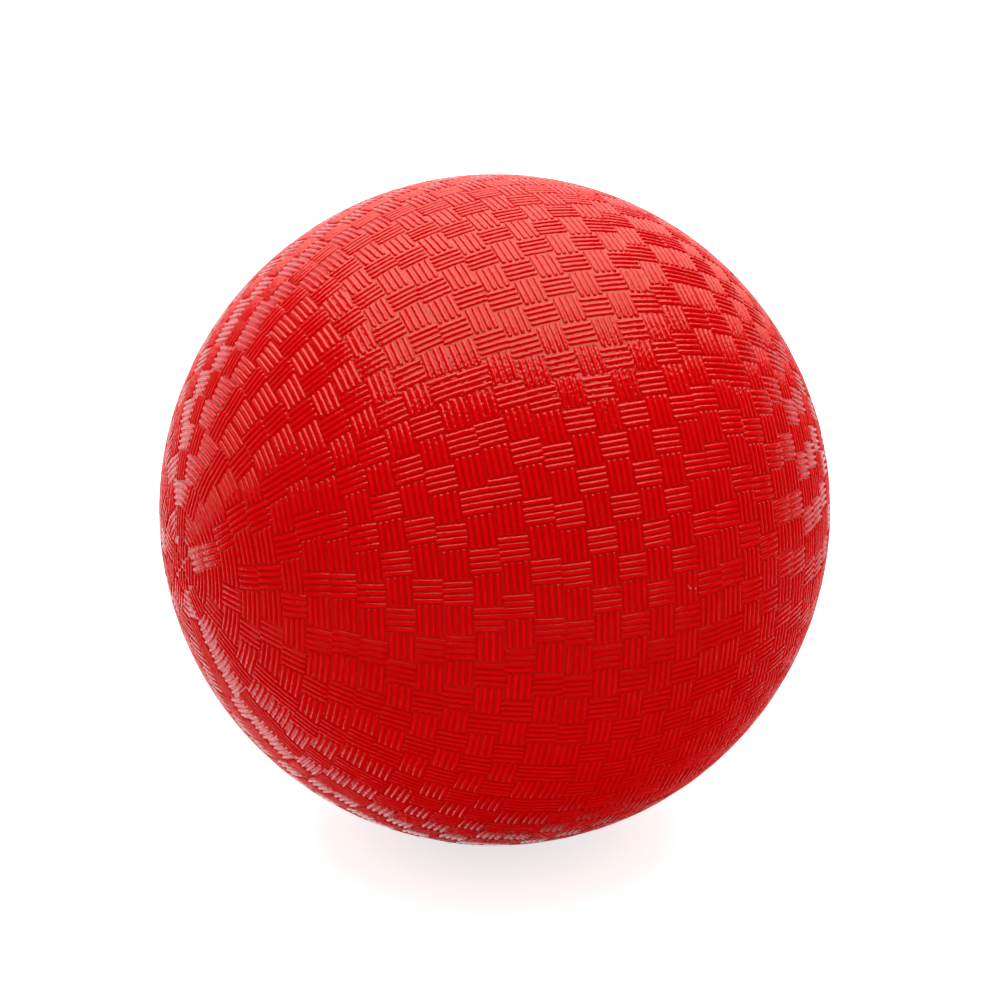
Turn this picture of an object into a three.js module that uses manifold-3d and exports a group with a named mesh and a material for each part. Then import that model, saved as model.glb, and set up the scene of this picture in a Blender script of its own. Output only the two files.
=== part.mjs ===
// Inflatable rubber playground ball: two moulded cover halves over a carcass ply, a nylon winding and a
// bladder, with a needle valve. Millimetres, +Z up. The origin is the centre of the ball. The mould's axis
// lies along X, and the valve looks along +X. Every surface is a ball of flat facets. All the layers share
// the same facets, so that the walls and the clearances between them stay even.
import * as THREE from "three";
import { mergeVertices } from "three/addons/utils/BufferGeometryUtils.js";
import Module from "manifold-3d";

// Driving dimensions of the ball and its layers, from the outside in.
const ballDiameter = 216;
const coverWall = 1.4;
const carcassWall = 0.45;
const windingWall = 0.35;
const bladderWall = 0.45;
const layerClearance = 0.3;

// The two cover halves meet at the mould's parting line, and the ball flattens a little where it rests.
const partingGap = 0.3;
const restPatchDepth = 0.6;

// Basket weave moulded into the cover: blocks of ribs, each block's ribs square to those of the next.
const weaveBlock = 9;
const grooveWidth = 2;
const grooveDepth = 0.45;
const weaveMargin = 1;

// Driving dimensions of the valve, which goes through every layer at the +X pole.
const valvePatchDiameter = 40;
const valvePatchWall = 0.8;
const flangeDiameter = 26;
const flangeWall = 1.2;
const neckDiameter = 9;
const barrelDiameter = 11;
const barrelLength = 13;
const boreDiameter = 5.2;
const pocketDiameter = 7.4;
const pocketDepth = 8;
const pocketLength = 5;
const pocketTaper = 1.2;
const fitClearance = 0.3;

// Driving dimensions of the plug that seals the valve.
const plugRecess = 0.3;
const plugTipLength = 1.5;
const plugTipDiameter = 3;
const needleHoleDiameter = 2;
const needleHoleDepth = 4;
const needleHoleTaper = 1;

// Facets round the mould's axis: a multiple of four puts a flat one straight down, under the ball.
const ballFacets = 36;
const valveFacets = 20;

const ballRadius = ballDiameter / 2;
const neckRadius = neckDiameter / 2;
const holeRadius = neckRadius + fitClearance;
const boreRadius = boreDiameter / 2;
const pocketRadius = pocketDiameter / 2;

// Radii of the layers' two faces, each layer lying a clearance inside the one before.
const coverInner = ballRadius - coverWall;
const carcassOuter = coverInner - layerClearance;
const carcassInner = carcassOuter - carcassWall;
const windingOuter = carcassInner - layerClearance;
const windingInner = windingOuter - windingWall;
const bladderOuter = windingInner - layerClearance;
const bladderInner = bladderOuter - bladderWall;
const valvePatchOuter = bladderInner - layerClearance;
const valvePatchInner = valvePatchOuter - valvePatchWall;
const flangeOuter = valvePatchInner - layerClearance;
const flangeInner = flangeOuter - flangeWall;

const wasm = await Module();
wasm.setup();

// A section is drawn on one side of the mould's axis. Its points give the distance from the axis first,
// and then the height along it, which grows towards the valve.
const at = (fromAxis, height) => new THREE.Vector2(fromAxis, height);

// The corners of the faceted ball's section, from the valve's pole to the other one. The middle of each
// facet lies at the radius, so the flat poles and the belt do too.
function corners(radius) {
  const halfStep = Math.PI / ballFacets;
  const reach = radius / Math.cos(halfStep);
  return Array.from({ length: ballFacets / 2 }, (_, i) => {
    const angle = (2 * i + 1) * halfStep;
    return at(reach * Math.sin(angle), reach * Math.cos(angle));
  });
}

const valveSide = (radius) => corners(radius).slice(0, ballFacets / 4);
const plainSide = (radius) => corners(radius).slice(ballFacets / 4);

// The point of the section at a distance from the axis, on the valve's side.
function pointAt(radius, fromAxis) {
  const side = valveSide(radius);
  const next = side.findIndex((corner) => corner.x > fromAxis);
  if (next === 0) return at(fromAxis, radius);
  const before = side[next - 1];
  const share = (fromAxis - before.x) / (side[next].x - before.x);
  return before.clone().lerp(side[next], share);
}

// The section's points from one distance from the axis to another, on the valve's side.
function cap(radius, low, high) {
  const between = valveSide(radius).filter((corner) => corner.x > low && corner.x < high);
  return [pointAt(radius, low), ...between, pointAt(radius, high)];
}

// From the edge of the valve's hole to the parting line.
function valveHalf(radius) {
  const beyondHole = valveSide(radius).filter((corner) => corner.x > holeRadius);
  return [pointAt(radius, holeRadius), ...beyondHole, at(radius, partingGap / 2)];
}

// From the parting line to the pole across from the valve.
function plainHalf(radius) {
  return [at(radius, -partingGap / 2), ...plainSide(radius), at(0, -radius)];
}

// From the edge of the valve's hole all the way to the other pole.
function wholeBall(radius) {
  return [...valveHalf(radius).slice(0, -1), ...plainHalf(radius).slice(1)];
}

// A solid of revolution. The outer line runs away from the valve with the air on its outside, and the
// inner line, where the solid is hollow, runs the same way along its inside.
function revolved(outerLine, innerLine = [], facets = ballFacets) {
  const outline = [...outerLine, ...innerLine.toReversed(), outerLine[0].clone()];
  return new THREE.LatheGeometry(outline.reverse(), facets, Math.PI / facets, 2 * Math.PI);
}

function toSolid(geometry) {
  const bare = geometry.clone();
  bare.deleteAttribute("normal");
  bare.deleteAttribute("uv");
  const merged = mergeVertices(bare);
  return new wasm.Manifold(
    new wasm.Mesh({
      numProp: 3,
      vertProperties: merged.attributes.position.array,
      triVerts: new Uint32Array(merged.index.array),
    }),
  );
}

function toGeometry(solid) {
  const mesh = solid.getMesh();
  const geometry = new THREE.BufferGeometry();
  geometry.setAttribute("position", new THREE.BufferAttribute(mesh.vertProperties, 3));
  geometry.setIndex(new THREE.BufferAttribute(mesh.triVerts, 1));
  geometry.computeVertexNormals();
  return geometry;
}

// The soft ball flattens under its own weight: all that lies below the patch that it rests on is cut off.
function flattened(geometry) {
  const floor = new THREE.BoxGeometry(ballDiameter, ballDiameter, ballRadius);
  floor.translate(0, 0, restPatchDepth - ballRadius - ballRadius / 2);
  return toGeometry(toSolid(geometry).subtract(toSolid(floor)));
}

// A groove between two ribs, as long as a block's side, in the middle of a facet. It lies along the ring
// of facets where it is across, and otherwise along the line from pole to pole.
function groove(tilt, fromAxis, height, turn, across) {
  const section = new THREE.Shape([
    new THREE.Vector2(0, -grooveDepth),
    new THREE.Vector2(grooveWidth, grooveDepth),
    new THREE.Vector2(-grooveWidth, grooveDepth),
  ]);
  const wedge = new THREE.ExtrudeGeometry(section, { depth: weaveBlock, bevelEnabled: false });
  wedge.translate(0, 0, -weaveBlock / 2);
  if (across) wedge.rotateY(Math.PI / 2);
  wedge.rotateX(tilt);
  wedge.translate(0, height, fromAxis);
  wedge.rotateY(turn);
  return toSolid(wedge);
}

// The weave's main grooves, one to a facet and by turns along and across, as the blocks lie. Near the poles
// a facet is narrower than a block, so only every second or fourth one has a groove. Side is 1 on the
// valve's half and -1 on the other.
function weave(side) {
  const halfStep = Math.PI / ballFacets;
  const flatRadius = ballRadius * Math.cos(halfStep);
  const belt = ballFacets / 4;
  const grooves = [];
  for (let ring = 1; ring <= belt; ring += 1) {
    const angle = 2 * ring * halfStep;
    const facetWidth = 2 * ballRadius * Math.sin(angle) * Math.tan(halfStep);
    const stride = 2 ** Math.max(0, Math.ceil(Math.log2((weaveBlock + 2 * weaveMargin) / facetWidth)));
    const height = ring === belt ? (ballRadius * Math.tan(halfStep)) / 2 : ballRadius * Math.cos(angle);
    const tilt = side > 0 ? angle : Math.PI - angle;
    for (let facet = 0; facet < ballFacets; facet += stride) {
      const across = stride === 1 && (ring + facet) % 2 === 0;
      if (ring === belt && !across) continue;
      grooves.push(groove(tilt, flatRadius * Math.sin(angle), side * height, 2 * facet * halfStep, across));
    }
  }
  return wasm.Manifold.union(grooves);
}

function woven(geometry, side) {
  return toGeometry(toSolid(geometry).subtract(weave(side)));
}

// The rubber boot: a flange inside the bladder, a neck that ends flush with the cover, a barrel that
// reaches into the ball, and a bore with a wider pocket that keeps the plug in.
const barrelEnd = flangeInner - barrelLength;
const pocketTop = ballRadius - pocketDepth;
const pocketBottom = pocketTop - pocketLength;

function valveHousing() {
  const outside = [
    at(boreRadius, ballRadius),
    at(neckRadius, ballRadius),
    ...cap(flangeOuter, neckRadius, flangeDiameter / 2),
    ...cap(flangeInner, barrelDiameter / 2, flangeDiameter / 2).reverse(),
    at(barrelDiameter / 2, barrelEnd),
    at(boreRadius, barrelEnd),
  ];
  const bore = [
    at(boreRadius, pocketTop),
    at(pocketRadius, pocketTop - pocketTaper),
    at(pocketRadius, pocketBottom + pocketTaper),
    at(boreRadius, pocketBottom),
  ];
  return revolved(outside, bore, valveFacets);
}

// The plug: a stem with a bulb that sits in the boot's pocket, and a guide hole for the needle in its
// face. Below the hole the rubber is slit, and closes by itself.
function valvePlug() {
  const plugFace = ballRadius - plugRecess;
  const stemRadius = boreRadius - fitClearance;
  const bulbRadius = pocketRadius - fitClearance;
  const bulbTop = pocketTop - fitClearance;
  const bulbBottom = pocketBottom + fitClearance;
  const tip = barrelEnd - plugTipLength;
  return revolved(
    [
      at(0, plugFace - needleHoleDepth - needleHoleTaper),
      at(needleHoleDiameter / 2, plugFace - needleHoleDepth),
      at(needleHoleDiameter / 2, plugFace),
      at(stemRadius, plugFace),
      at(stemRadius, bulbTop),
      at(bulbRadius, bulbTop - pocketTaper),
      at(bulbRadius, bulbBottom + pocketTaper),
      at(stemRadius, bulbBottom),
      at(stemRadius, barrelEnd),
      at(plugTipDiameter / 2, tip),
      at(0, tip),
    ],
    [],
    valveFacets,
  );
}

// Finishes
const glossyRed = { color: 0xc8130e, roughness: 0.35, metalness: 0 };
const greyRubber = { color: 0x4a4744, roughness: 0.7, metalness: 0 };
const paleNylon = { color: 0xe2dcca, roughness: 0.6, metalness: 0 };
const blackButyl = { color: 0x1b1b1d, roughness: 0.55, metalness: 0 };
const tanRubber = { color: 0xa57a4c, roughness: 0.65, metalness: 0 };
const blackRubber = { color: 0x222020, roughness: 0.5, metalness: 0 };

// The sections are revolved round the Y axis, and this group turns them so that the valve looks along +X.
const layers = new THREE.Group();
layers.rotation.z = -Math.PI / 2;

function addPiece(name, geometry, finish) {
  const piece = new THREE.Mesh(geometry, new THREE.MeshStandardMaterial(finish));
  piece.name = name;
  layers.add(piece);
}

const leftHalf = flattened(revolved(plainHalf(ballRadius), plainHalf(coverInner)));
const halfWithValve = flattened(revolved(valveHalf(ballRadius), valveHalf(coverInner)));
addPiece("cover_half_left", woven(leftHalf, -1), glossyRed);
addPiece("cover_half_valve", woven(halfWithValve, 1), glossyRed);
addPiece("carcass_ply", revolved(wholeBall(carcassOuter), wholeBall(carcassInner)), greyRubber);
addPiece("nylon_winding", revolved(wholeBall(windingOuter), wholeBall(windingInner)), paleNylon);
addPiece("bladder", revolved(wholeBall(bladderOuter), wholeBall(bladderInner)), blackButyl);
addPiece(
  "valve_patch",
  revolved(
    cap(valvePatchOuter, holeRadius, valvePatchDiameter / 2),
    cap(valvePatchInner, holeRadius, valvePatchDiameter / 2),
  ),
  blackButyl,
);
addPiece("valve_housing", valveHousing(), tanRubber);
addPiece("valve_plug", valvePlug(), blackRubber);

const ball = new THREE.Group();
ball.add(layers);

export default ball;
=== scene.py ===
import math

import bmesh
import bpy
import numpy as np
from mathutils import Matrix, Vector


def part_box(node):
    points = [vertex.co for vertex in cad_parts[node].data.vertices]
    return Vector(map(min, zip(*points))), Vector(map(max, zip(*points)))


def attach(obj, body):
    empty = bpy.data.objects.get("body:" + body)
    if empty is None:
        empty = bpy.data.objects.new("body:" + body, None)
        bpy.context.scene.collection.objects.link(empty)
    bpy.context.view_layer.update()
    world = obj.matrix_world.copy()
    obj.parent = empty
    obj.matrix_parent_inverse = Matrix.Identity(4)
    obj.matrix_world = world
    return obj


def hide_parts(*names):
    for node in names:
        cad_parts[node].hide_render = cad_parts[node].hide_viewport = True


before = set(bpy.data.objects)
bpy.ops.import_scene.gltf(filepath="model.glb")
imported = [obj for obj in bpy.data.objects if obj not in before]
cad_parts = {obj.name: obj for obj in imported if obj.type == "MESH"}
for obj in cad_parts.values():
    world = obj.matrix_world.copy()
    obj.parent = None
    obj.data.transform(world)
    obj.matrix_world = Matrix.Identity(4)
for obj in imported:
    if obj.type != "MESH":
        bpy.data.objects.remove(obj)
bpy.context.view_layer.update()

# The camera stands in front of the ball, a little to the left of the mould's parting line and above
# the middle, so that one pole of the moulded pattern shows at the ball's left edge.
mm = 0.001
camera_azimuth = math.radians(-25.33)
camera_elevation = math.radians(21.76)
camera_distance = 1202.4 * mm
camera_lens = 134.1
camera_sensor = 36
camera_shift = (0.0053, 0.0097)

towards_camera = Vector((
    math.sin(camera_azimuth) * math.cos(camera_elevation),
    -math.cos(camera_azimuth) * math.cos(camera_elevation),
    math.sin(camera_elevation),
))
camera_data = bpy.data.cameras.new("camera")
camera_data.sensor_width = camera_sensor
camera_data.lens = camera_lens
camera_data.shift_x, camera_data.shift_y = camera_shift
camera = bpy.data.objects.new("camera", camera_data)
camera.location = towards_camera * camera_distance
camera.rotation_mode = "QUATERNION"
camera.rotation_quaternion = towards_camera.to_track_quat("Z", "Y")
bpy.context.scene.collection.objects.link(camera)
bpy.context.scene.camera = camera

# Bladder: the thin butyl rubber bag that holds the air. It is moulded in one piece, so a low seam runs
# round its middle, and it is dusted with talc so that it doesn't stick to the layers over it.
bladder_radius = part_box("bladder")[1].x
bladder_wall = 0.45 * mm
layer_hole_radius = 4.8 * mm
layer_facets_round = 96
layer_facets_along = 60
seam_half_width = 1.6 * mm
seam_slope = 0.5 * mm
seam_height = 0.12 * mm
rim_slack = 1.5
smooth_below = math.radians(38)

butyl_black = (0.011, 0.011, 0.012, 1)
butyl_talc = (0.10, 0.10, 0.095, 1)
butyl_gloss = (0.5, 0.75)
butyl_patches = 18.0
butyl_clouds = 160.0
butyl_grain = 0.03 * mm

# What the mottle of every rubber shares: how fine its patches, clouds and grain are, how much of the
# tone is patches, and which part of each is stretched over a finish.
patch_detail = 3.0
patch_fineness = 0.55
patch_share = 0.65
cloud_detail = 5.0
cloud_fineness = 0.6
cloud_span = (0.3, 0.7)
bloom_span = (0.42, 0.66)
grain_detail = 3.0
grain_fineness = 0.6
grain_strength = 0.3
grains_to_cloud = 3
column_width = 240
row_height = 260


def start_piece():
    bpy.ops.object.select_all(action="DESELECT")


def open_for_editing(select_mode="FACE"):
    bpy.ops.object.mode_set(mode="EDIT")
    bpy.ops.mesh.select_mode(type=select_mode)
    bpy.ops.mesh.select_all(action="DESELECT")
    return bmesh.from_edit_mesh(bpy.context.active_object.data)


def select_faces(wanted):
    bpy.ops.mesh.select_mode(type="FACE")
    mesh = bmesh.from_edit_mesh(bpy.context.active_object.data)
    for face in mesh.faces:
        face.select_set(bool(wanted(face)))
    bmesh.update_edit_mesh(bpy.context.active_object.data)


def whole_ball(name, radius, facets_round, facets_along):
    # A ball whose poles lie on the mould's axis, which is X.
    start_piece()
    bpy.ops.mesh.primitive_uv_sphere_add(
        segments=facets_round, ring_count=facets_along, radius=radius, rotation=(0, math.pi / 2, 0),
    )
    ball = bpy.context.active_object
    ball.name = name
    bpy.ops.object.transform_apply(location=False, rotation=True, scale=False)
    return ball


def open_valve_hole(hole_radius):
    # The facets round the valve's pole come out, and the rim that is left is brought to the hole's size.
    mesh = open_for_editing("VERT")
    pole = max(mesh.verts, key=lambda v: v.co.x)
    reach = pole.link_edges[0].other_vert(pole).co
    rim_radius = math.hypot(reach.y, reach.z)
    pole.select_set(True)
    bmesh.update_edit_mesh(bpy.context.active_object.data)
    bpy.ops.mesh.delete(type="VERT")
    mesh = bmesh.from_edit_mesh(bpy.context.active_object.data)
    for v in mesh.verts:
        v.select_set(v.is_boundary and math.hypot(v.co.y, v.co.z) < rim_slack * rim_radius)
    bmesh.update_edit_mesh(bpy.context.active_object.data)
    share = hole_radius / rim_radius
    bpy.ops.transform.resize(value=(1, share, share), center_override=(0, 0, 0))


def give_wall(piece, wall):
    solid = piece.modifiers.new("wall", "SOLIDIFY")
    solid.thickness = wall
    solid.offset = -1
    solid.use_even_offset = True
    bpy.ops.object.modifier_apply(modifier=solid.name)


def node_in(tree, kind, **settings):
    node = tree.nodes.new(kind)
    for name, value in settings.items():
        setattr(node, name, value)
    return node


def set_inputs(node, **values):
    for name, value in values.items():
        node.inputs[name.replace("_", " ")].default_value = value


def lay_out(tree):
    # The nodes stand in columns, by how many links lie between each of them and the output.
    last = next(node for node in tree.nodes if not node.outputs)
    column_of = {last.name: 0}
    waiting = [last.name]
    for name in waiting:
        for link in tree.links:
            if link.to_node.name == name and column_of.get(link.from_node.name, 0) <= column_of[name]:
                column_of[link.from_node.name] = column_of[name] + 1
                waiting.append(link.from_node.name)
    filled = {}
    for name, column in column_of.items():
        row = filled.get(column, 0)
        tree.nodes[name].location = (-column * column_width, -row * row_height)
        filled[column] = row + 1


def effect_group(name, sockets_in, sockets_out):
    group = bpy.data.node_groups.new(name, "ShaderNodeTree")
    for label, kind, value in sockets_in:
        socket = group.interface.new_socket(label, in_out="INPUT", socket_type="NodeSocket" + kind)
        if value is not None:
            socket.default_value = value
    for label, kind in sockets_out:
        group.interface.new_socket(label, in_out="OUTPUT", socket_type="NodeSocket" + kind)
    return group, node_in(group, "NodeGroupInput"), node_in(group, "NodeGroupOutput")


def mottle_group():
    # Cured rubber is never one even tone: slow patches, with a finer cloud in them.
    group, given, put = effect_group(
        "rubber_mottle",
        [
            ("Vector", "Vector", None),
            ("Patch Scale", "Float", butyl_patches),
            ("Cloud Scale", "Float", butyl_clouds),
        ],
        [("Tone", "Float"), ("Fine", "Float")],
    )
    patches = node_in(group, "ShaderNodeTexNoise")
    clouds = node_in(group, "ShaderNodeTexNoise")
    set_inputs(patches, Detail=patch_detail, Roughness=patch_fineness)
    set_inputs(clouds, Detail=cloud_detail, Roughness=cloud_fineness)
    blend = node_in(group, "ShaderNodeMath", operation="MULTIPLY_ADD")
    blend.inputs[1].default_value = patch_share
    part = node_in(group, "ShaderNodeMath", operation="MULTIPLY")
    part.inputs[1].default_value = 1 - patch_share
    wire = group.links.new
    wire(given.outputs["Vector"], patches.inputs["Vector"])
    wire(given.outputs["Patch Scale"], patches.inputs["Scale"])
    wire(given.outputs["Vector"], clouds.inputs["Vector"])
    wire(given.outputs["Cloud Scale"], clouds.inputs["Scale"])
    wire(clouds.outputs["Fac"], part.inputs[0])
    wire(patches.outputs["Fac"], blend.inputs[0])
    wire(part.outputs[0], blend.inputs[2])
    wire(blend.outputs[0], put.inputs["Tone"])
    wire(clouds.outputs["Fac"], put.inputs["Fine"])
    lay_out(group)
    return group


rubber_mottle = mottle_group()


def blank_material(name):
    material = bpy.data.materials.new(name)
    material.use_nodes = True
    tree = material.node_tree
    tree.nodes.clear()
    shader = node_in(tree, "ShaderNodeBsdfPrincipled")
    output = node_in(tree, "ShaderNodeOutputMaterial")
    tree.links.new(shader.outputs["BSDF"], output.inputs["Surface"])
    place = node_in(tree, "ShaderNodeTexCoord")
    return material, tree, shader, place.outputs["Object"]


def effect_in(tree, group, at, **values):
    node = node_in(tree, "ShaderNodeGroup", node_tree=group)
    set_inputs(node, **values)
    tree.links.new(at, node.inputs["Vector"])
    return node


def mix_colours(tree, factor, first, second):
    mix = node_in(tree, "ShaderNodeMix", data_type="RGBA")
    tree.links.new(factor, mix.inputs["Factor"])
    for value, socket in ((first, mix.inputs["A"]), (second, mix.inputs["B"])):
        if isinstance(value, tuple):
            socket.default_value = value
        else:
            tree.links.new(value, socket)
    return mix.outputs["Result"]


def spread(tree, value, span, result=(0.0, 1.0)):
    # The value's span is stretched over the result's, and held at both ends.
    remap = node_in(tree, "ShaderNodeMapRange", clamp=True)
    tree.links.new(value, remap.inputs["Value"])
    set_inputs(remap, From_Min=span[0], From_Max=span[1], To_Min=result[0], To_Max=result[1])
    return remap.outputs["Result"]


def grain_bump(tree, shader, at, scale, depth, strength):
    grain = node_in(tree, "ShaderNodeTexNoise")
    set_inputs(grain, Scale=scale, Detail=grain_detail, Roughness=grain_fineness)
    tree.links.new(at, grain.inputs["Vector"])
    bump = node_in(tree, "ShaderNodeBump")
    set_inputs(bump, Strength=strength, Distance=depth)
    tree.links.new(grain.outputs["Fac"], bump.inputs["Height"])
    tree.links.new(bump.outputs["Normal"], shader.inputs["Normal"])
    return bump


def plain_rubber(name, dark, light, gloss, patches, clouds, grain_depth):
    # The rubber of the inner parts: a mottled body with a bloom or dust that gathers in patches.
    material, tree, shader, at = blank_material(name)
    mottle = effect_in(tree, rubber_mottle, at, Patch_Scale=patches, Cloud_Scale=clouds)
    bloom = spread(tree, mottle.outputs["Tone"], bloom_span)
    tree.links.new(mix_colours(tree, bloom, dark, light), shader.inputs["Base Color"])
    tree.links.new(spread(tree, mottle.outputs["Fine"], cloud_span, gloss), shader.inputs["Roughness"])
    grain_bump(tree, shader, at, grains_to_cloud * clouds, grain_depth, grain_strength)
    lay_out(tree)
    return material


def finish_piece(piece, material, slot, *nodes):
    piece.data.materials.clear()
    piece.data.materials.append(material)
    bpy.ops.object.select_all(action="DESELECT")
    bpy.context.view_layer.objects.active = piece
    piece.select_set(True)
    bpy.ops.object.shade_smooth_by_angle(angle=smooth_below)
    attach(piece, "root")
    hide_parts(*nodes)


butyl_rubber = plain_rubber(
    "butyl_rubber", butyl_black, butyl_talc, butyl_gloss, butyl_patches, butyl_clouds, butyl_grain)

bladder = whole_ball("bladder_bag", bladder_radius - seam_height, layer_facets_round, layer_facets_along)
open_valve_hole(layer_hole_radius)
for seam_side in (-seam_half_width, seam_half_width):
    bpy.ops.mesh.select_all(action="SELECT")
    bpy.ops.mesh.bisect(plane_co=(seam_side, 0, 0), plane_no=(1, 0, 0))
select_faces(lambda face: abs(face.calc_center_median().x) < seam_half_width)
bpy.ops.mesh.inset(thickness=seam_slope, depth=seam_height)
bpy.ops.object.mode_set(mode="OBJECT")
give_wall(bladder, bladder_wall)
finish_piece(bladder, butyl_rubber, "butyl_rubber", "bladder")

# Valve patch: a round disc of the same butyl rubber, cured to the inside of the bladder where the valve
# goes through. Its edge is skived, so that it lies down without a step.
layer_gap = 0.3 * mm
patch_outer = bladder_radius - bladder_wall - layer_gap
patch_wall = 0.8 * mm
patch_radius = 20 * mm
patch_round = 0.2 * mm
patch_edge = 2.0 * mm
patch_steps = 6
valve_facets = 48
axis_point = 0.02 * mm
weld_distance = 0.005 * mm


def on_ball(ball_radius, from_axis):
    return math.sqrt(ball_radius**2 - from_axis**2)


def turned(name, outline):
    # A ring of points is drawn on, from station to station, as a potter pulls up a wall. Each station
    # gives the place along the axis and the distance from it. An outline that ends where it began is
    # closed into a ring, and an end that reaches the axis is closed to a point.
    start_piece()
    along, from_axis = outline[0]
    bpy.ops.mesh.primitive_circle_add(
        vertices=valve_facets, radius=max(from_axis, axis_point), location=(along, 0, 0),
        rotation=(0, math.pi / 2, 0),
    )
    piece = bpy.context.active_object
    piece.name = name
    bpy.ops.object.transform_apply(location=True, rotation=True, scale=False)
    open_for_editing("VERT")
    bpy.ops.mesh.select_all(action="SELECT")
    if from_axis < axis_point:
        bpy.ops.mesh.edge_face_add()
    for (x, r), (next_x, next_r) in zip(outline, outline[1:]):
        bpy.ops.mesh.extrude_region_move(TRANSFORM_OT_translate={"value": (next_x - x, 0, 0)})
        share = max(next_r, axis_point) / max(r, axis_point)
        bpy.ops.transform.resize(value=(1, share, share), center_override=(next_x, 0, 0))
    if outline[-1][1] < axis_point:
        bpy.ops.mesh.merge(type="CENTER")
    bpy.ops.mesh.select_all(action="SELECT")
    bpy.ops.mesh.remove_doubles(threshold=weld_distance)
    bpy.ops.mesh.normals_make_consistent(inside=False)
    bpy.ops.object.mode_set(mode="OBJECT")
    return piece


def on_arc(ball_radius, first, last, steps):
    stations = [first + (last - first) * step / steps for step in range(steps + 1)]
    return [(on_ball(ball_radius, from_axis), from_axis) for from_axis in stations]


patch_inner = patch_outer - patch_wall
patch_outline = (
    on_arc(patch_outer, layer_hole_radius, patch_radius - patch_round, patch_steps)
    + on_arc(patch_inner, patch_radius - patch_edge, layer_hole_radius, patch_steps)
)
valve_patch = turned("valve_patch_disc", [*patch_outline, patch_outline[0]])
finish_piece(valve_patch, butyl_rubber, "butyl_rubber", "valve_patch")

# Valve housing: a boot of soft tan gum rubber, moulded in one piece. Its flange is cured to the patch
# inside the bladder, its neck comes out through every layer, and its bore holds the plug.
housing_low, housing_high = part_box("valve_housing")
ball_radius = housing_high.x
barrel_end = housing_low.x
flange_wall = 1.2 * mm
flange_outer = patch_inner - layer_gap
flange_inner = flange_outer - flange_wall
flange_radius = 12.8 * mm
flange_steps = 5
neck_radius = 4.5 * mm
barrel_radius = 5.5 * mm
bore_radius = 2.6 * mm
pocket_radius = 3.7 * mm
pocket_depth = 8 * mm
pocket_length = 5 * mm
pocket_top = ball_radius - pocket_depth
pocket_bottom = pocket_top - pocket_length
pocket_taper = 1.2 * mm
rim_round = 0.22 * mm
end_round = 2 * rim_round
flange_round = 0.35 * mm

gum_tan = (0.34, 0.19, 0.085, 1)
gum_pale = (0.43, 0.26, 0.13, 1)
gum_gloss = (0.45, 0.65)
gum_patches = 90.0
gum_clouds = 500.0
gum_grain = 0.02 * mm

boot_outline = [
    (ball_radius - rim_round, bore_radius),
    (ball_radius, bore_radius + rim_round),
    (ball_radius, neck_radius - rim_round),
    (ball_radius - rim_round, neck_radius),
    *on_arc(flange_outer, neck_radius, flange_radius - flange_round, flange_steps),
    (on_ball(flange_outer, flange_radius) - flange_round, flange_radius),
    (on_ball(flange_inner, flange_radius) + flange_round, flange_radius),
    *on_arc(flange_inner, flange_radius - flange_round, barrel_radius, flange_steps),
    (barrel_end + end_round, barrel_radius),
    (barrel_end, barrel_radius - end_round),
    (barrel_end, bore_radius),
    (pocket_bottom, bore_radius),
    (pocket_bottom + pocket_taper, pocket_radius),
    (pocket_top - pocket_taper, pocket_radius),
    (pocket_top, bore_radius),
    (ball_radius - rim_round, bore_radius),
]
boot_rubber = plain_rubber("boot_rubber", gum_tan, gum_pale, gum_gloss, gum_patches, gum_clouds, gum_grain)
valve_housing = turned("valve_boot", boot_outline)
finish_piece(valve_housing, boot_rubber, "boot_rubber", "valve_housing")

# Nylon winding: thread wound over the bladder in every direction and set in latex, which keeps the ball
# round under pressure. The turns stand a little proud of the latex that binds them.
winding_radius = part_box("nylon_winding")[1].x
winding_wall = 0.35 * mm
latex_sunk = 0.12 * mm
thread_radius = 0.3 * mm
thread_sunk = 0.32 * mm
thread_turns = 44
thread_facets_round = 96
thread_facets_across = 6
clear_of_valve = math.sin(math.radians(4.5))

nylon_pale = (0.72, 0.68, 0.56, 1)
nylon_latex = (0.50, 0.42, 0.28, 1)
nylon_gloss = (0.45, 0.7)
nylon_patches = 40.0
nylon_clouds = 900.0
latex_span = (0.4, 0.62)
nylon_grain_scale = 3000.0
nylon_grain = 0.03 * mm
nylon_grain_strength = 0.4


def nylon_finish():
    material, tree, shader, at = blank_material("nylon_thread")
    mottle = effect_in(tree, rubber_mottle, at, Patch_Scale=nylon_patches, Cloud_Scale=nylon_clouds)
    latex = spread(tree, mottle.outputs["Tone"], latex_span)
    tree.links.new(mix_colours(tree, latex, nylon_pale, nylon_latex), shader.inputs["Base Color"])
    tree.links.new(spread(tree, mottle.outputs["Fine"], cloud_span, nylon_gloss), shader.inputs["Roughness"])
    grain_bump(tree, shader, at, nylon_grain_scale, nylon_grain, nylon_grain_strength)
    lay_out(tree)
    return material


nylon_thread = nylon_finish()
winding = whole_ball("winding_layer", winding_radius - latex_sunk, layer_facets_round, layer_facets_along)
open_valve_hole(layer_hole_radius)
bpy.ops.object.mode_set(mode="OBJECT")
give_wall(winding, winding_wall - latex_sunk)

turns = []
golden_turn = math.pi * (3 - math.sqrt(5))
for turn in range(thread_turns):
    height = 1 - (turn + 0.5) / thread_turns
    reach = math.sqrt(1 - height**2)
    axis = Vector((height, reach * math.cos(turn * golden_turn), reach * math.sin(turn * golden_turn)))
    if abs(axis.x) < clear_of_valve:
        continue
    start_piece()
    bpy.ops.mesh.primitive_torus_add(
        major_radius=winding_radius - thread_sunk, minor_radius=thread_radius,
        major_segments=thread_facets_round, minor_segments=thread_facets_across,
        rotation=axis.to_track_quat("Z", "Y").to_euler(),
    )
    thread = bpy.context.active_object
    bpy.ops.object.transform_apply(location=False, rotation=True, scale=False)
    turns.append(thread)

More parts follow.
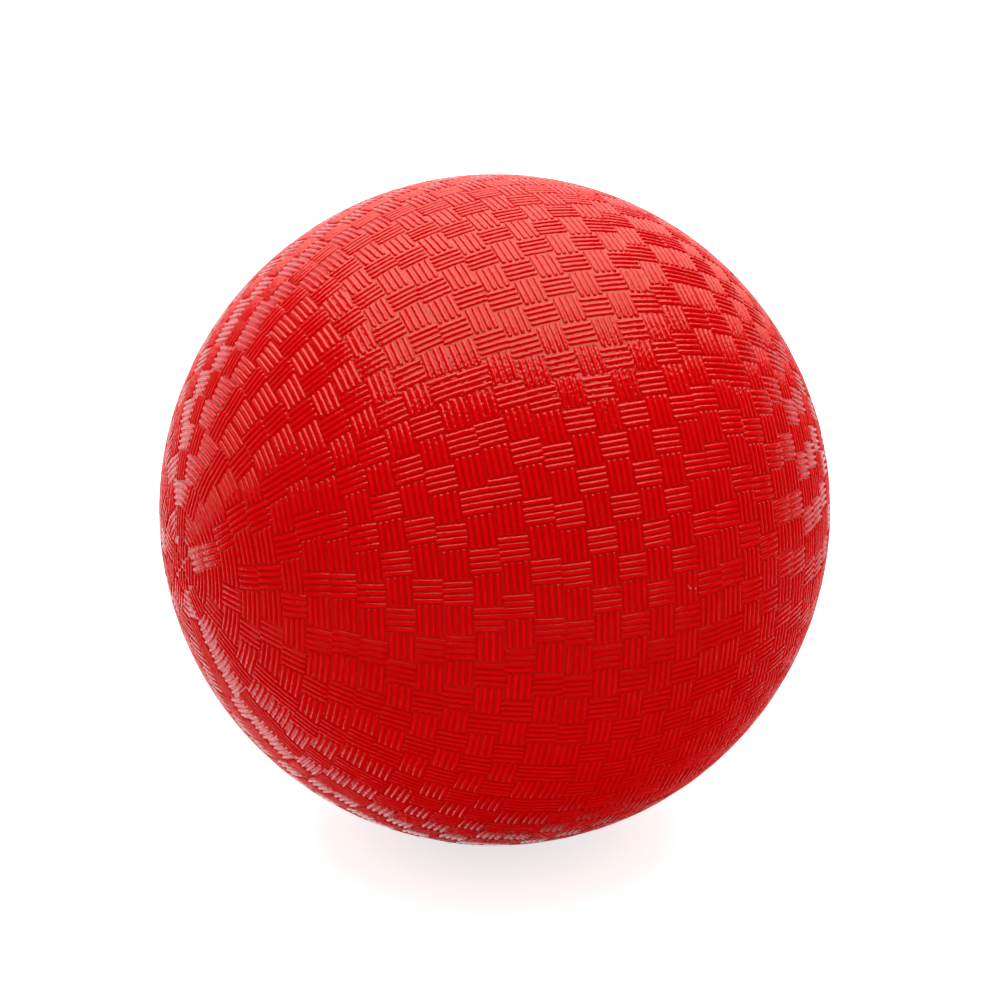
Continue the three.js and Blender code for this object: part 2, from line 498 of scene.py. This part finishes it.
start_piece()
for thread in turns:
    thread.select_set(True)
winding.select_set(True)
bpy.context.view_layer.objects.active = winding
bpy.ops.object.join()
finish_piece(winding, nylon_thread, "nylon_thread", "nylon_winding")

# Carcass ply: a smooth sheet of grey rubber laid over the winding in strips that run from pole to pole.
# Every other strip laps over its neighbours, and the cover is cured to it.
carcass_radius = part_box("carcass_ply")[1].x
carcass_wall = 0.45 * mm
lap_height = 0.1 * mm
lap_slope = 1.2 * mm
lap_reach = 0.93
carcass_strips = 12

carcass_grey = (0.060, 0.055, 0.052, 1)
carcass_bloom = (0.105, 0.098, 0.09, 1)
carcass_gloss = (0.55, 0.8)
carcass_patches = 22.0
carcass_clouds = 240.0
carcass_grain = 0.03 * mm

carcass = whole_ball("carcass_sheet", carcass_radius - lap_height, layer_facets_round, layer_facets_along)
open_valve_hole(layer_hole_radius)


def on_lapping_strip(face):
    middle = face.calc_center_median()
    if abs(middle.x) > lap_reach * carcass_radius:
        return False
    strip = math.floor((math.atan2(middle.z, middle.y) + math.pi) / (2 * math.pi) * carcass_strips)
    return strip % 2 == 0


select_faces(on_lapping_strip)
bpy.ops.mesh.inset(thickness=lap_slope, depth=lap_height)
bpy.ops.object.mode_set(mode="OBJECT")
give_wall(carcass, carcass_wall - lap_height)
carcass_rubber = plain_rubber(
    "carcass_rubber", carcass_grey, carcass_bloom, carcass_gloss, carcass_patches, carcass_clouds,
    carcass_grain,
)
finish_piece(carcass, carcass_rubber, "carcass_rubber", "carcass_ply")

# Cover half, left: a thin skin of red playground rubber, pressed in a round mould. This piece is the
# smooth skin between the ribs. It meets the other half at the parting line, where the two are cured
# together, and it is flat where the ball rests.
rest_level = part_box("cover_half_left")[0].z
rib_height = 0.48 * mm
skin_radius = ball_radius - rib_height
skin_wall = skin_radius - carcass_radius - layer_gap
parting_gap = 0.02 * mm
patch_lift = 0.02 * mm
skin_facets_round = 144
skin_facets_along = 90

rubber_red = (0.66, 0.0004, 0.0010, 1)
rubber_deep = (0.61, 0.0003, 0.0008, 1)
rubber_worn = (0.69, 0.0014, 0.0022, 1)
rubber_gloss = (0.06, 0.11)
rubber_patches = 28.0
rubber_clouds = 260.0
rubber_bend = 1.55
rubber_grain_scale = 1300.0
rubber_grain = 0.05 * mm
rubber_grain_strength = 0.2
ripple_scale = 1000.0
ripple_depth = 0.18 * mm
tone_span = (0.35, 0.65)
wear_span = (0.45, 0.75)
most_wear = 0.6
raised_span = (0.1, 0.6)
# Painted shade: the groove floors between the ribs are coloured a darker red than the rubber, to stand for
# the shade that falls between the ribs.
groove_painted_shade = (0.51, 0.0002, 0.0005, 1)
groove_gloss = 0.12
scuff_pale = (0.80, 0.22, 0.22, 1)
scuff_gloss = 0.4
scuff_raggedness = 2600.0
scuff_span = (0.2, 0.3)


def rest_flat(piece, lift):
    # The soft ball is flat where it rests, so nothing reaches below that level.
    count = len(piece.data.vertices)
    points = np.empty(count * 3)
    piece.data.vertices.foreach_get("co", points)
    points = points.reshape(count, 3)
    points[:, 2] = np.maximum(points[:, 2], rest_level + lift)
    piece.data.vertices.foreach_set("co", points.ravel())
    piece.data.update()


def half_skin(name, side):
    skin = whole_ball(name, skin_radius, skin_facets_round, skin_facets_along)
    open_for_editing()
    bpy.ops.mesh.select_all(action="SELECT")
    bpy.ops.mesh.bisect(
        plane_co=(side * parting_gap, 0, 0), plane_no=(-side, 0, 0), clear_outer=True,
    )
    bpy.ops.object.mode_set(mode="OBJECT")
    return skin


# Small scuffs from use: how far to the right and up each lies as the camera sees the ball, and its size.
scuffs = (
    (0.532, -0.205, 0.3 * mm),
    (0.536, -0.212, 0.36 * mm),
    (0.543, -0.217, 0.34 * mm),
    (0.558, -0.219, 0.22 * mm),
    (-0.122, -0.247, 0.28 * mm),
    (-0.104, -0.230, 0.24 * mm),
    (0.0, -0.331, 0.2 * mm),
    (0.176, 0.228, 0.25 * mm),
)


def scuff_group():
    # One inside any of the scuffs, with ragged edges, and nought elsewhere.
    group, given, put = effect_group(
        "rubber_scuffs",
        [("Vector", "Vector", None), ("Ragged", "Float", scuff_raggedness)],
        [("Scuff", "Float")],
    )
    ragged = node_in(group, "ShaderNodeTexNoise")
    set_inputs(ragged, Detail=1.0)
    wire = group.links.new
    wire(given.outputs["Vector"], ragged.inputs["Vector"])
    wire(given.outputs["Ragged"], ragged.inputs["Scale"])
    camera_right = Vector((0, 0, 1)).cross(towards_camera).normalized()
    camera_up = towards_camera.cross(camera_right)
    deepest = None
    for right_share, up_share, size in scuffs:
        near_share = math.sqrt(1 - right_share**2 - up_share**2)
        way = near_share * towards_camera + right_share * camera_right + up_share * camera_up
        away = node_in(group, "ShaderNodeVectorMath", operation="DISTANCE")
        away.inputs[1].default_value = way * ball_radius
        wire(given.outputs["Vector"], away.inputs[0])
        inside = spread(group, away.outputs["Value"], (0.0, 2 * size), (1.0, 0.0))
        if deepest is None:
            deepest = inside
            continue
        either = node_in(group, "ShaderNodeMath", operation="MAXIMUM")
        wire(deepest, either.inputs[0])
        wire(inside, either.inputs[1])
        deepest = either.outputs[0]
    worn_through = node_in(group, "ShaderNodeMath", operation="MULTIPLY")
    wire(deepest, worn_through.inputs[0])
    wire(ragged.outputs["Fac"], worn_through.inputs[1])
    wire(spread(group, worn_through.outputs[0], scuff_span), put.inputs["Scuff"])
    lay_out(group)
    return group


rubber_scuffs = scuff_group()


def crown_group():
    # Where a point lies between the groove's floor and the rib's top, from nought to one.
    group, given, put = effect_group(
        "rib_crown",
        [("Vector", "Vector", None), ("Floor", "Float", skin_radius), ("Top", "Float", ball_radius)],
        [("Crown", "Float")],
    )
    reach = node_in(group, "ShaderNodeVectorMath", operation="LENGTH")
    share = node_in(group, "ShaderNodeMapRange", clamp=True)
    wire = group.links.new
    wire(given.outputs["Vector"], reach.inputs[0])
    wire(reach.outputs["Value"], share.inputs["Value"])
    wire(given.outputs["Floor"], share.inputs["From Min"])
    wire(given.outputs["Top"], share.inputs["From Max"])
    wire(share.outputs["Result"], put.inputs["Crown"])
    lay_out(group)
    return group


rib_crown = crown_group()


def cover_rubber_finish():
    material, tree, shader, at = blank_material("cover_rubber")
    wire = tree.links.new
    mottle = effect_in(tree, rubber_mottle, at, Patch_Scale=rubber_patches, Cloud_Scale=rubber_clouds)
    crown = effect_in(tree, rib_crown, at).outputs["Crown"]
    raised = spread(tree, crown, raised_span)
    tone = spread(tree, mottle.outputs["Tone"], tone_span)
    # The rubber's mottled red, with painted shade on the groove floors: a darker red that fades out up the
    # ribs' sides.
    body = mix_colours(tree, raised, groove_painted_shade, mix_colours(tree, tone, rubber_deep, rubber_red))
    wear = node_in(tree, "ShaderNodeMath", operation="MULTIPLY")
    wire(crown, wear.inputs[0])
    wire(spread(tree, mottle.outputs["Fine"], wear_span, (0.0, most_wear)), wear.inputs[1])
    worn = mix_colours(tree, wear.outputs[0], body, rubber_worn)
    scuff = effect_in(tree, rubber_scuffs, at).outputs["Scuff"]
    wire(mix_colours(tree, scuff, worn, scuff_pale), shader.inputs["Base Color"])

    gloss = node_in(tree, "ShaderNodeMix", data_type="FLOAT")
    gloss.inputs["A"].default_value = groove_gloss
    wire(raised, gloss.inputs["Factor"])
    wire(spread(tree, mottle.outputs["Fine"], cloud_span, rubber_gloss), gloss.inputs["B"])
    scuffed = node_in(tree, "ShaderNodeMix", data_type="FLOAT")
    scuffed.inputs["B"].default_value = scuff_gloss
    wire(scuff, scuffed.inputs["Factor"])
    wire(gloss.outputs["Result"], scuffed.inputs["A"])
    wire(scuffed.outputs["Result"], shader.inputs["Roughness"])
    shader.inputs["IOR"].default_value = rubber_bend

    grain = grain_bump(tree, shader, at, rubber_grain_scale, rubber_grain, rubber_grain_strength)
    ripple = node_in(tree, "ShaderNodeTexNoise")
    set_inputs(ripple, Scale=ripple_scale, Detail=0.0)
    wire(at, ripple.inputs["Vector"])
    waves = node_in(tree, "ShaderNodeBump")
    set_inputs(waves, Strength=1.0, Distance=ripple_depth)
    wire(ripple.outputs["Fac"], waves.inputs["Height"])
    wire(waves.outputs["Normal"], grain.inputs["Normal"])
    lay_out(tree)
    return material


cover_rubber = cover_rubber_finish()
left_skin = half_skin("cover_left_skin", -1)
give_wall(left_skin, skin_wall)
rest_flat(left_skin, patch_lift)
finish_piece(left_skin, cover_rubber, "cover_rubber", "cover_half_left")

# The weave on the left half: four short ribs across the ring and four along it, turn about, in rings
# round the pole. The mould looks cut by hand, since no two blocks are quite alike. The ribs are one
# with the skin, and here each is sunk a little way into it.
rings_in_half = 19
ring_step = math.pi / 2 / rings_in_half
ribs_in_block = 4
rib_width = 1.50 * mm
rib_root = 0.3 * mm
rib_model_length = 6 * mm
rib_corner = 0.66 * mm
rib_corner_facets = 2
rib_end = 2 * rib_corner
rib_slope = (0.14 * mm, 0.22 * mm)
rib_shoulder = (0.22 * mm, 0.17 * mm)
rib_crest = (0.29 * mm, 0.09 * mm)
across_pitch = 1.93 * mm
along_pitch = 2.05 * mm
across_block = ribs_in_block * across_pitch
across_overlap = 0.90 * mm
across_length = ring_step * ball_radius + across_overlap
along_end_gap = 0.15 * mm
curved_rings = 4
facing_up = 0.9

# How many pairs of blocks each ring has, from the pole to the parting line, and how far round from
# the index mark the nearest block of cross ribs lies.
pairs_in_ring = (2, 5, 7, 10, 13, 16, 19, 22, 24, 27, 30, 30, 34, 34, 36, 36, 37, 37, 37)
left_first_block = (28, 4, 4, 12, -11, -10, 0, 4.5, 3, -1, 4.5, -1.5, -3.5, 2, 3, -1.5, -3, 2, -3)

# How far a hand-cut rib or block strays from its place, its length and its size.
mould_seed = 7
rib_turn_stray = math.radians(0.5)
rib_shift_stray = 0.045 * mm
rib_length_stray = 0.10 * mm
rib_width_stray = 0.045
rib_height_stray = 0.05
across_turn_stray = math.radians(0.7)
along_turn_stray = math.radians(0.6)

# The cap at the pole: how it is turned, and what its ribs keep clear of.
cap_turn = math.radians(65)
cap_start = 1.55 * mm
cap_gap = 0.5 * mm
cap_margin = 0.3 * mm
cap_shortest = 1.9 * mm
cap_colatitude = 1e-6

index_way = Vector((0, towards_camera.y, towards_camera.z)).normalized()
index_mark = np.array(index_way)
quarter_mark = np.array((0.0, index_way.z, -index_way.y))


def model_rib(cuts):
    start_piece()
    bpy.ops.mesh.primitive_cube_add(size=1, location=(0, 0, -rib_root / 2))
    rib = bpy.context.active_object
    bpy.ops.transform.resize(value=(rib_model_length, rib_width, rib_root))
    bpy.ops.object.transform_apply(location=True, rotation=False, scale=True)
    mesh = open_for_editing("EDGE")
    for edge in mesh.edges:
        low_end, high_end = sorted(v.co.z for v in edge.verts)
        edge.select_set(high_end - low_end > rib_root / 2)
    bmesh.update_edit_mesh(rib.data)
    bpy.ops.mesh.bevel(offset=rib_corner, segments=rib_corner_facets, affect="EDGES")
    select_faces(lambda face: face.normal.z > facing_up)
    for inward, upward in (rib_slope, rib_shoulder, rib_crest):
        bpy.ops.mesh.inset(thickness=inward, depth=upward)
    for cut in range(cuts):
        share = (cut + 1) / (cuts + 1) - 0.5
        bpy.ops.mesh.select_all(action="SELECT")
        bpy.ops.mesh.bisect(
            plane_co=(share * (rib_model_length - 2 * rib_end), 0, 0), plane_no=(1, 0, 0),
        )
    bpy.ops.object.mode_set(mode="OBJECT")
    points = np.array([v.co for v in rib.data.vertices])
    faces = [tuple(face.vertices) for face in rib.data.polygons]
    bpy.data.objects.remove(rib)
    return points, faces


short_rib = model_rib(1)
curved_rib = model_rib(3)


def unit(vectors):
    return vectors / np.linalg.norm(vectors, axis=-1, keepdims=True)


def ring_frame(side, colatitude, longitude):
    # The direction out of the ball, the way along the ring, and the way from the pole.
    round_way = math.cos(longitude) * index_mark + math.sin(longitude) * quarter_mark
    pole = np.array((side, 0.0, 0.0))
    out = math.cos(colatitude) * pole + math.sin(colatitude) * round_way
    from_pole = math.cos(colatitude) * round_way - math.sin(colatitude) * pole
    along = math.cos(longitude) * quarter_mark - math.sin(longitude) * index_mark
    return out, along, from_pole


def stretched(points, length, width_share, height_share):
    # A longer rib keeps its ends: only the middle is stretched.
    grown = points.copy()
    middle = rib_model_length / 2 - rib_end
    extra = (length - rib_model_length) / 2
    grown[:, 0] += np.clip(points[:, 0] / middle, -1, 1) * extra
    grown[:, 1] *= width_share
    grown[:, 2] = np.where(points[:, 2] > 0, points[:, 2] * height_share, points[:, 2])
    return grown


def flat_rib(points, side, colatitude, longitude, turn, offset, length, shares):
    # A straight rib on a block: turned from the way out from the pole, and moved sideways.
    out, along, from_pole = ring_frame(side, colatitude, longitude)
    x, y, z = stretched(points, length, *shares).T
    from_start, sideways = offset
    x, y = x + from_start, y + sideways
    u = x * math.cos(turn) - y * math.sin(turn)
    v = x * math.sin(turn) + y * math.cos(turn)
    way = unit(out + np.outer(u, from_pole) / ball_radius + np.outer(v, along) / ball_radius)
    return way * (skin_radius + z)[:, None]


def ring_rib(points, side, colatitude, longitude, turn, length, shares):
    # A rib that follows its ring round the pole.
    x, y, z = stretched(points, length, *shares).T
    y = y + x * math.tan(turn)
    around = longitude + x / (ball_radius * math.sin(colatitude))
    down = colatitude + y / ball_radius
    pole = np.array((side, 0.0, 0.0))
    round_way = np.outer(np.cos(around), index_mark) + np.outer(np.sin(around), quarter_mark)
    way = np.cos(down)[:, None] * pole + np.sin(down)[:, None] * round_way
    return way * (skin_radius + z)[:, None]


def cut_by_hand(chance):
    # Small seeded differences from rib to rib, as a hand-cut mould has.
    return {
        "turn": chance.normal(0, rib_turn_stray),
        "shift": chance.normal(0, rib_shift_stray),
        "length": chance.normal(0, rib_length_stray),
        "shares": (1 + chance.normal(0, rib_width_stray), 1 + min(0, chance.normal(0, rib_height_stray))),
    }


def ring_ribs(side, ring, first_block, chance):
    # One ring's ribs: blocks across it and blocks along it, turn about.
    colatitude = (ring + 0.5) * ring_step
    pairs = pairs_in_ring[ring]
    model = curved_rib if ring < curved_rings else short_rib
    ribs = []
    for pair in range(pairs):
        longitude = math.radians(first_block) + 2 * math.pi * pair / pairs
        block_turn = chance.normal(0, across_turn_stray)
        for rib in range(ribs_in_block):
            hand = cut_by_hand(chance)
            sideways = (rib - (ribs_in_block - 1) / 2) * across_pitch + hand["shift"]
            ribs.append((short_rib, flat_rib(
                short_rib[0], side, colatitude, longitude, block_turn + hand["turn"],
                (0, sideways), across_length + hand["length"], hand["shares"],
            )))
        between = longitude + math.pi / pairs
        block_turn = chance.normal(0, along_turn_stray)
        for rib in range(ribs_in_block):
            hand = cut_by_hand(chance)
            down = (rib - (ribs_in_block - 1) / 2) * along_pitch + hand["shift"]
            rib_colatitude = colatitude + down / ball_radius
            room = 2 * math.pi * ball_radius * math.sin(rib_colatitude) / pairs - across_block
            ribs.append((model, ring_rib(
                model[0], side, rib_colatitude, between, block_turn + hand["turn"],
                room - 2 * along_end_gap + hand["length"], hand["shares"],
            )))
    return ribs


def pole_ribs(side, turn, chance):
    # The pole's own four blocks, cut straight across the cap: two along its turn and two across.
    ribs = []
    cap = ring_step * ball_radius
    for quarter in range(4):
        facing = turn + quarter * math.pi / 2
        for rib in range(ribs_in_block):
            hand = cut_by_hand(chance)
            if quarter % 2:
                away = cap_start + rib * along_pitch
                reach = min(2 * (away - cap_gap), 2 * math.sqrt(max(cap**2 - away**2, 0)))
                place, way = (0, away), facing - math.pi / 2
            else:
                sideways = (rib - (ribs_in_block - 1) / 2) * across_pitch
                inner = abs(sideways) + cap_gap
                outer = math.sqrt(cap**2 - sideways**2) - cap_margin
                reach = outer - inner
                place, way = ((inner + outer) / 2, sideways), facing
            ribs.append((short_rib, flat_rib(
                short_rib[0], side, cap_colatitude, 0.0, way, place, max(reach, cap_shortest), hand["shares"],
            )))
    return ribs


def join_ribs(name, ribs):
    points = np.concatenate([placed for _, placed in ribs])
    points[:, 2] = np.maximum(points[:, 2], rest_level)
    corners, totals, start = [], [], 0
    for (_, faces), placed in ribs:
        for face in faces:
            corners.extend(start + corner for corner in face)
            totals.append(len(face))
        start += len(placed)
    mesh = bpy.data.meshes.new(name)
    mesh.vertices.add(len(points))
    mesh.vertices.foreach_set("co", points.ravel())
    mesh.loops.add(len(corners))
    mesh.loops.foreach_set("vertex_index", corners)
    mesh.polygons.add(len(totals))
    mesh.polygons.foreach_set("loop_start", np.concatenate(([0], np.cumsum(totals)[:-1])))
    mesh.update(calc_edges=True)
    mesh.validate()
    piece = bpy.data.objects.new(name, mesh)
    bpy.context.scene.collection.objects.link(piece)
    return piece


ring_groups = {"pole": range(1, 10), "middle": range(10, 15), "belt": range(15, rings_in_half)}
chance = np.random.default_rng(mould_seed)
for group, rings in ring_groups.items():
    ribs = pole_ribs(-1, cap_turn, chance) if group == "pole" else []
    for ring in rings:
        ribs += ring_ribs(-1, ring, left_first_block[ring], chance)
    weave = join_ribs("cover_left_weave_" + group, ribs)
    finish_piece(weave, cover_rubber, "cover_rubber", "cover_half_left")

# Cover half, valve side: the same skin, with a smooth raised boss round the valve's hole in place of
# the pole's blocks.
boss_radius = 8.0 * mm
boss_steps = ((0.25 * mm, 0.40 * mm), (0.2 * mm, 0.15 * mm))

valve_skin = half_skin("cover_valve_skin", 1)
open_valve_hole(layer_hole_radius)
select_faces(lambda face: face.calc_center_median().x > 0 and max(
    math.hypot(v.co.y, v.co.z) for v in face.verts) < boss_radius)
for inward, upward in boss_steps:
    bpy.ops.mesh.inset(thickness=inward, depth=upward, use_boundary=False)
bpy.ops.object.mode_set(mode="OBJECT")
give_wall(valve_skin, skin_wall)
rest_flat(valve_skin, patch_lift)
finish_piece(valve_skin, cover_rubber, "cover_rubber", "cover_half_valve")

# The weave on the valve's half: the same rings of blocks, cut in the other half of the mould, so that
# they fall elsewhere along the parting line.
valve_first_block = (0, 3, -4, 6, -5, 8, 2, -3, 4, 0, -2, 2.5, 1, -4.5, -2, 2.5, 1.5, -3.5, 1.5)

for group, rings in ring_groups.items():
    ribs = []
    for ring in rings:
        ribs += ring_ribs(1, ring, valve_first_block[ring], chance)
    weave = join_ribs("cover_valve_weave_" + group, ribs)
    finish_piece(weave, cover_rubber, "cover_rubber", "cover_half_valve")

# Valve plug: a stem of firm black rubber with a bulb that locks it in the boot's pocket. It is pushed
# in last. A guide hole leads the needle in, and the slit below it closes by itself.
plug_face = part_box("valve_plug")[1].x
plug_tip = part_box("valve_plug")[0].x
plug_radius = 2.3 * mm
bulb_radius = 3.4 * mm
bulb_clearance = 0.3 * mm
plug_tip_radius = 1.5 * mm
guide_radius = 1.0 * mm
guide_lip = 0.2 * mm
guide_depth = 4 * mm
guide_taper = 1 * mm
face_round = 0.3 * mm
face_dish = 0.2 * face_round

plug_black = (0.016, 0.0145, 0.0145, 1)
plug_grey = (0.030, 0.028, 0.028, 1)
plug_gloss = (0.4, 0.6)
plug_patches = 120.0
plug_clouds = 700.0
plug_grain = 0.02 * mm

plug_outline = [
    (plug_face - guide_depth - guide_taper, 0),
    (plug_face - guide_depth, guide_radius),
    (plug_face - guide_lip, guide_radius),
    (plug_face, guide_radius + guide_lip),
    (plug_face - face_dish, plug_radius - face_round),
    (plug_face - face_round, plug_radius),
    (pocket_top - bulb_clearance, plug_radius),
    (pocket_top - bulb_clearance - pocket_taper, bulb_radius),
    (pocket_bottom + bulb_clearance + pocket_taper, bulb_radius),
    (pocket_bottom + bulb_clearance, plug_radius),
    (barrel_end, plug_radius),
    (plug_tip + face_round, plug_tip_radius),
    (plug_tip, plug_tip_radius - face_round),
    (plug_tip, 0),
]
plug_rubber = plain_rubber(
    "plug_rubber", plug_black, plug_grey, plug_gloss, plug_patches, plug_clouds, plug_grain)
valve_plug = turned("valve_plug_stem", plug_outline)
finish_piece(valve_plug, plug_rubber, "plug_rubber", "valve_plug")

# Studio: a pale floor under the ball, a large soft light over it and a white room. The side of the room
# that the camera stands in is dark, as a studio's is, so that the ball's near side mirrors little.
floor_side = 6.0
floor_white = 0.9
floor_gloss = 0.9
floor_shine = 0.1
floor_glow = 0.7
white = (1, 1, 1, 1)

start_piece()
bpy.ops.mesh.primitive_plane_add(size=floor_side, location=(0, 0, rest_level))
floor = bpy.context.active_object
floor.name = "studio_floor"
floor.visible_glossy = False
floor_material, floor_tree, floor_shader, _ = blank_material("studio_floor")
floor_shader.inputs["Base Color"].default_value = (floor_white, floor_white, floor_white, 1)
floor_shader.inputs["Roughness"].default_value = floor_gloss
floor_shader.inputs["Specular IOR Level"].default_value = floor_shine


def seen_rays(tree, *kinds):
    # One where the ray is of any of the named kinds.
    rays = node_in(tree, "ShaderNodeLightPath")
    seen = rays.outputs[kinds[0]]
    for kind in kinds[1:]:
        either = node_in(tree, "ShaderNodeMath", operation="MAXIMUM")
        tree.links.new(seen, either.inputs[0])
        tree.links.new(rays.outputs[kind], either.inputs[1])
        seen = either.outputs[0]
    return seen


glow = node_in(floor_tree, "ShaderNodeMath", operation="MULTIPLY")
glow.inputs[1].default_value = floor_glow
floor_seen = seen_rays(floor_tree, "Is Camera Ray", "Is Glossy Ray", "Is Transmission Ray")
floor_tree.links.new(floor_seen, glow.inputs[0])
floor_shader.inputs["Emission Color"].default_value = white
floor_tree.links.new(glow.outputs[0], floor_shader.inputs["Emission Strength"])
lay_out(floor_tree)
floor.data.materials.append(floor_material)

softbox_back = 0.38
softbox_height = 1.30
softbox_side = 2.1
softbox_power = 35.5
softbox_colour = (1.0, 0.93, 0.76)

back = -Vector((towards_camera.x, towards_camera.y, 0)).normalized()
left = Vector((-back.y, back.x, 0))
up = Vector((0, 0, 1))

lamp = bpy.data.lights.new("overhead_softbox", "AREA")
lamp.shape = "RECTANGLE"
lamp.size = softbox_side
lamp.size_y = softbox_side
lamp.energy = softbox_power
lamp.color = softbox_colour
softbox = bpy.data.objects.new("overhead_softbox", lamp)
softbox.location = back * softbox_back + up * softbox_height
softbox.rotation_mode = "QUATERNION"
softbox.rotation_quaternion = softbox.location.to_track_quat("Z", "Y")
bpy.context.scene.collection.objects.link(softbox)

# The room's plain light falls off towards the camera. What the ball mirrors is the white room behind it,
# which reaches lower on its left and is dimmer on its right, and all else is dark.
room_shade = 0.52
room_span = (-0.8, 0.3)
mirrored_white = 1.25
mirrored_dark = 0.0
mirrored_right = 0.55
backdrop_way = 0.9 * back - 0.43 * up
backdrop_span = (0.42, 0.72)
low_way = up + 0.25 * left
low_span = (-0.79, -0.65)
side_span = (-0.55, 0.1)

world = bpy.data.worlds.new("studio")
bpy.context.scene.world = world
world.use_nodes = True
tree = world.node_tree
tree.nodes.clear()
surroundings = node_in(tree, "ShaderNodeBackground")
surroundings.inputs["Color"].default_value = white
world_output = node_in(tree, "ShaderNodeOutputWorld")
tree.links.new(surroundings.outputs["Background"], world_output.inputs["Surface"])
direction = node_in(tree, "ShaderNodeTexCoord")


def towards(way, span, least=0.0):
    # From the least value to one as the direction turns towards the given way.
    facing = node_in(tree, "ShaderNodeVectorMath", operation="DOT_PRODUCT")
    facing.inputs[1].default_value = way
    tree.links.new(direction.outputs["Generated"], facing.inputs[0])
    return spread(tree, facing.outputs["Value"], span, (least, 1.0))


white_back = node_in(tree, "ShaderNodeMath", operation="MULTIPLY")
tree.links.new(towards(backdrop_way, backdrop_span), white_back.inputs[0])
tree.links.new(towards(low_way, low_span), white_back.inputs[1])
white_side = node_in(tree, "ShaderNodeMath", operation="MULTIPLY")
tree.links.new(white_back.outputs[0], white_side.inputs[0])
tree.links.new(towards(left, side_span, mirrored_right), white_side.inputs[1])
mirrored = spread(tree, white_side.outputs[0], (0.0, 1.0), (mirrored_dark, mirrored_white))
plain_level = node_in(tree, "ShaderNodeMix", data_type="FLOAT")
tree.links.new(towards(back, room_span, room_shade), plain_level.inputs["A"])
tree.links.new(seen_rays(tree, "Is Glossy Ray", "Is Transmission Ray"), plain_level.inputs["Factor"])
tree.links.new(mirrored, plain_level.inputs["B"])
level = node_in(tree, "ShaderNodeMix", data_type="FLOAT")
level.inputs["B"].default_value = 1.0
tree.links.new(seen_rays(tree, "Is Camera Ray"), level.inputs["Factor"])
tree.links.new(plain_level.outputs["Result"], level.inputs["A"])
tree.links.new(level.outputs["Result"], surroundings.inputs["Strength"])
lay_out(tree)

bpy.context.scene.view_settings.view_transform = "Standard"
